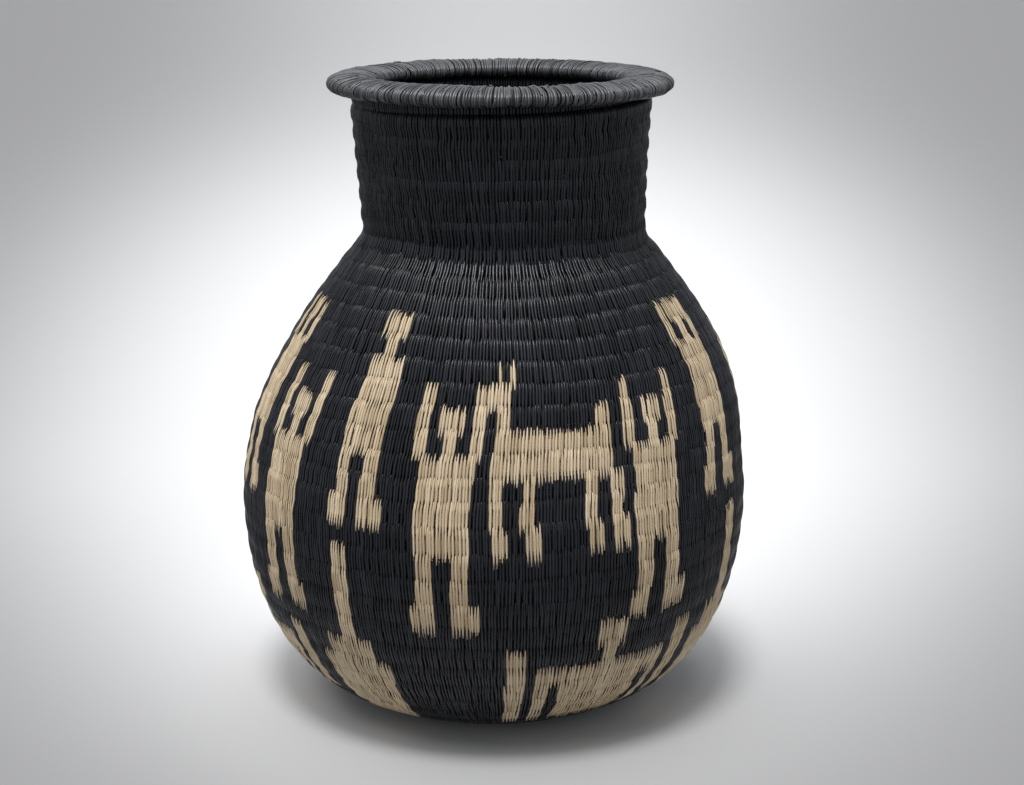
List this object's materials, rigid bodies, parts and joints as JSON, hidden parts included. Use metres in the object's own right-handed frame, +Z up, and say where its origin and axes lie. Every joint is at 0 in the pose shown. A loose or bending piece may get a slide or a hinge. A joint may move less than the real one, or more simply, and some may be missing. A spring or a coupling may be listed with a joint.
{
  "type": "coiled basket vase",
  "caption": "Round-bellied coiled palm-fibre basket vase with a short neck and a flared, bound rim; black wrapping with cream folk figures.",
  "frame": {"origin": "on the vase's axis, on the surface that it stands on", "axes": "+Z up along the axis, out of the mouth; the front, with the long four-legged figure, faces -Y; +X to its right"},
  "size_m": [0.1727, 0.1729, 0.216],
  "materials": {
    "black_strip": "dyed palm fibre, satin",
    "natural_strip": "undyed palm fibre, satin",
    "foundation_fibre": "raw palm fibre, matt"
  },
  "bodies": {
    "root": {"base_bundle": "foundation_fibre", "base_turn_1": "black_strip", "base_turn_2": "black_strip", "base_turn_3": "black_strip", "base_turn_4": "black_strip", "belly_bundle": "foundation_fibre", "belly_turn_1": "black_strip", "belly_turn_2": "black_strip", "belly_turn_3": "black_strip", "belly_turn_4": "black_strip", "belly_turn_5": "black_strip", "belly_turn_6": "black_strip", "belly_turn_7": "black_strip", "belly_turn_8": "black_strip", "coil_tail": "black_strip", "heel_bundle": "foundation_fibre", "heel_turn_1": "black_strip", "heel_turn_2": "black_strip", "heel_turn_3": "black_strip", "heel_turn_4": "black_strip", "heel_turn_5": "black_strip", "heel_turn_6": "black_strip", "natural_animal_1": "natural_strip", "natural_animal_2": "natural_strip", "natural_animal_3": "natural_strip", "natural_animal_4": "natural_strip", "natural_person_1": "natural_strip", "natural_person_2": "natural_strip", "natural_person_3": "natural_strip", "natural_person_4": "natural_strip", "natural_person_5": "natural_strip", "natural_person_6": "natural_strip", "natural_person_7": "natural_strip", "natural_person_8": "natural_strip", "natural_tall_neck_1": "natural_strip", "natural_tall_neck_2": "natural_strip", "neck_bundle": "foundation_fibre", "neck_turn_1": "black_strip", "neck_turn_2": "black_strip", "neck_turn_3": "black_strip", "neck_turn_4": "black_strip", "neck_turn_5": "black_strip", "neck_turn_6": "black_strip", "neck_turn_7": "black_strip", "rim_binding": "black_strip", "rim_bundles": "foundation_fibre", "shoulder_bundle": "foundation_fibre", "shoulder_turn_1": "black_strip", "shoulder_turn_10": "black_strip", "shoulder_turn_11": "black_strip", "shoulder_turn_12": "black_strip", "shoulder_turn_2": "black_strip", "shoulder_turn_3": "black_strip", "shoulder_turn_4": "black_strip", "shoulder_turn_5": "black_strip", "shoulder_turn_6": "black_strip", "shoulder_turn_7": "black_strip", "shoulder_turn_8": "black_strip", "shoulder_turn_9": "black_strip", "start_knot": "black_strip"}
  },
  "joints": []
}
